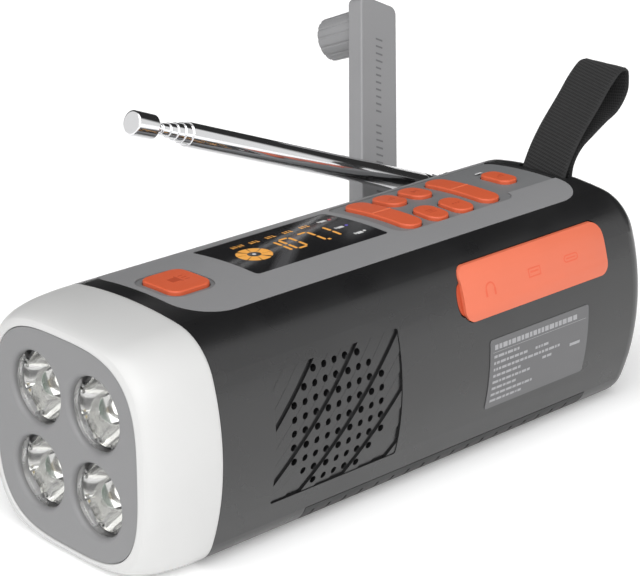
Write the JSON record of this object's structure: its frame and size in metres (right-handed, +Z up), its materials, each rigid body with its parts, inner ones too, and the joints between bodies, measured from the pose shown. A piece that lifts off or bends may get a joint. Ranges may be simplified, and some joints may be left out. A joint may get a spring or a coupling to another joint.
{
  "type": "emergency radio",
  "caption": "Hand-crank emergency radio with a front torch, telescopic antenna, folding crank, top display and keys, side speaker, covered sockets and a webbing hand strap.",
  "frame": {"origin": "middle of the base pad's underside", "axes": "+X along the case from the lamp to the strap end, +Y towards the crank side, +Z up"},
  "size_m": [0.1889, 0.1105, 0.0964],
  "materials": {
    "case_black": "moulded, fine texture",
    "pad_black": "moulded",
    "bezel_white": "smooth",
    "panel_grey": "satin",
    "plate_grey": "satin",
    "reflector_chrome": "polished",
    "lens_clear": "polished",
    "led_yellow": "phosphor",
    "board_green": "solder mask",
    "display_glass": "polished",
    "module_black": "moulded",
    "key_orange": "soft touch",
    "cover_orange": "soft touch",
    "socket_metal": "plated",
    "socket_black": "moulded",
    "label_grey": "printed film",
    "speaker_black": "satin",
    "cone_black": "pressed paper",
    "magnet_steel": "zinc plated",
    "cell_blue": "shrink sleeve",
    "cradle_black": "moulded",
    "gear_white": "moulded acetal",
    "bush_brass": "turned",
    "crank_grey": "satin",
    "antenna_chrome": "polished",
    "strap_black": "woven webbing"
  },
  "bodies": {
    "case": {"near_shell": "case_black", "far_shell": "case_black", "base_pad": "pad_black", "lamp_bezel": "bezel_white", "reflector_plate": "plate_grey", "led_reflectors": "reflector_chrome", "led_lenses": "lens_clear", "led_emitters": "led_yellow", "led_board": "board_green", "top_panel": "panel_grey", "display_window": "display_glass", "display_module": "module_black", "main_board": "board_green", "tact_switches": "module_black", "headphone_jack": "socket_black", "usb_a_socket": "socket_metal", "usb_a_tongue": "socket_black", "usb_c_socket": "socket_metal", "rating_label": "label_grey", "speaker_frame": "speaker_black", "speaker_cone": "cone_black", "speaker_magnet": "magnet_steel", "battery_cell": "cell_blue", "battery_cradle": "cradle_black", "generator_motor": "magnet_steel", "gear_plate": "socket_metal", "idler_axle": "socket_metal", "crank_bush": "bush_brass", "strap": "strap_black", "strap_bar": "socket_metal", "housing_screws": "socket_metal", "board_screws": "socket_metal"},
    "crank": {"crank_gear": "gear_white", "crank_shaft": "socket_metal", "crank_hub": "crank_grey", "fold_pin": "socket_metal"},
    "arm": {"crank_arm": "crank_grey"},
    "knob": {"crank_knob": "crank_grey"},
    "idler": {"idler_gear": "gear_white"},
    "rotor": {"motor_pinion": "bush_brass", "motor_shaft": "socket_metal"},
    "flap": {"port_cover": "cover_orange"},
    "aerial_base": {"antenna_base": "antenna_chrome", "antenna_pin": "socket_metal"},
    "aerial_1": {"antenna_knuckle": "antenna_chrome", "antenna_tube_1": "antenna_chrome"},
    "aerial_2": {"antenna_tube_2": "antenna_chrome"},
    "aerial_3": {"antenna_tube_3": "antenna_chrome"},
    "aerial_4": {"antenna_tube_4": "antenna_chrome"},
    "aerial_5": {"antenna_tube_5": "antenna_chrome"},
    "aerial_6": {"antenna_tip": "antenna_chrome"},
    "body_torch_button": {"torch_button": "key_orange"},
    "body_tuning_rocker": {"tuning_rocker": "key_orange"},
    "body_volume_rocker": {"volume_rocker": "key_orange"},
    "body_key_mode": {"key_mode": "key_orange"},
    "body_key_play": {"key_play": "key_orange"},
    "body_key_band": {"key_band": "key_orange"},
    "body_key_alarm": {"key_alarm": "key_orange"},
    "body_key_siren": {"key_siren": "key_orange"}
  },
  "joints": [
    {"name": "crank_spin", "type": "hinge", "parent": "case", "child": "crank", "pos_m": [0.049, 0.0349, 0.0283], "axis": [0, -1, 0], "continuous": true},
    {"name": "crank_fold", "type": "hinge", "parent": "crank", "child": "arm", "pos_m": [0.049, 0.0349, 0.0283], "axis": [0.9164, 0, -0.4003], "range_deg": [-157, 0]},
    {"name": "knob_spin", "type": "hinge", "parent": "arm", "child": "knob", "pos_m": [0.07336, 0.06942, 0.08406], "axis": [-0.1564, 0.9205, -0.3581], "continuous": true},
    {"name": "idler_spin", "type": "hinge", "parent": "case", "child": "idler", "pos_m": [0.029, 0.02, 0.034], "axis": [0, -1, 0], "continuous": true},
    {"name": "rotor_spin", "type": "hinge", "parent": "case", "child": "rotor", "pos_m": [0.01011, 0.016, 0.03059], "axis": [0, -1, 0], "continuous": true},
    {"name": "cover_hinge", "type": "hinge", "parent": "case", "child": "flap", "pos_m": [0.0684, -0.02957, 0.04704], "axis": [0, 0.3664, 0.9305], "range_deg": [0, 110]},
    {"name": "antenna_swivel", "type": "hinge", "parent": "case", "child": "aerial_base", "pos_m": [0.073, 0.0336, 0.0468], "axis": [0, 1, 0], "range_deg": [-20.3, 125]},
    {"name": "antenna_tilt", "type": "hinge", "parent": "aerial_base", "child": "aerial_1", "pos_m": [0.073, 0.0336, 0.0468], "axis": [-0.3469, 0, -0.9379], "range_deg": [0, 12]},
    {"name": "antenna_slide_1", "type": "slide", "parent": "aerial_1", "child": "aerial_2", "axis": [-0.9379, 0, 0.3469], "range_m": [0, 0.075]},
    {"name": "antenna_slide_2", "type": "slide", "parent": "aerial_2", "child": "aerial_3", "axis": [-0.9379, 0, 0.3469], "range_m": [0, 0.075]},
    {"name": "antenna_slide_3", "type": "slide", "parent": "aerial_3", "child": "aerial_4", "axis": [-0.9379, 0, 0.3469], "range_m": [0, 0.075]},
    {"name": "antenna_slide_4", "type": "slide", "parent": "aerial_4", "child": "aerial_5", "axis": [-0.9379, 0, 0.3469], "range_m": [0, 0.075]},
    {"name": "antenna_slide_5", "type": "slide", "parent": "aerial_5", "child": "aerial_6", "axis": [-0.9379, 0, 0.3469], "range_m": [0, 0.075]},
    {"name": "torch_button_press", "type": "slide", "parent": "case", "child": "body_torch_button", "axis": [0, 0, -1], "range_m": [0, 0.0005], "stiffness_N_per_m": 400},
    {"name": "tuning_rocker_tilt", "type": "hinge", "parent": "case", "child": "body_tuning_rocker", "pos_m": [0.0206, 0.0034, 0.055], "axis": [1, 0, 0], "range_deg": [-2, 2], "stiffness_Nm_per_rad": 0.03},
    {"name": "volume_rocker_tilt", "type": "hinge", "parent": "case", "child": "body_volume_rocker", "pos_m": [0.0497, 0.0036, 0.055], "axis": [1, 0, 0], "range_deg": [-2, 2], "stiffness_Nm_per_rad": 0.03},
    {"name": "key_mode_press", "type": "slide", "parent": "case", "child": "body_key_mode", "axis": [0, 0, -1], "range_m": [0, 0.0005], "stiffness_N_per_m": 400},
    {"name": "key_play_press", "type": "slide", "parent": "case", "child": "body_key_play", "axis": [0, 0, -1], "range_m": [0, 0.0005], "stiffness_N_per_m": 400},
    {"name": "key_band_press", "type": "slide", "parent": "case", "child": "body_key_band", "axis": [0, 0, -1], "range_m": [0, 0.0005], "stiffness_N_per_m": 400},
    {"name": "key_alarm_press", "type": "slide", "parent": "case", "child": "body_key_alarm", "axis": [0, 0, -1], "range_m": [0, 0.0005], "stiffness_N_per_m": 400},
    {"name": "key_siren_press", "type": "slide", "parent": "case", "child": "body_key_siren", "axis": [0, 0, -1], "range_m": [0, 0.0005], "stiffness_N_per_m": 400}
  ],
  "couplings": [
    {"joint": "idler_spin", "follows": "crank_spin", "ratio": -3.3333},
    {"joint": "rotor_spin", "follows": "crank_spin", "ratio": 10}
  ]
}
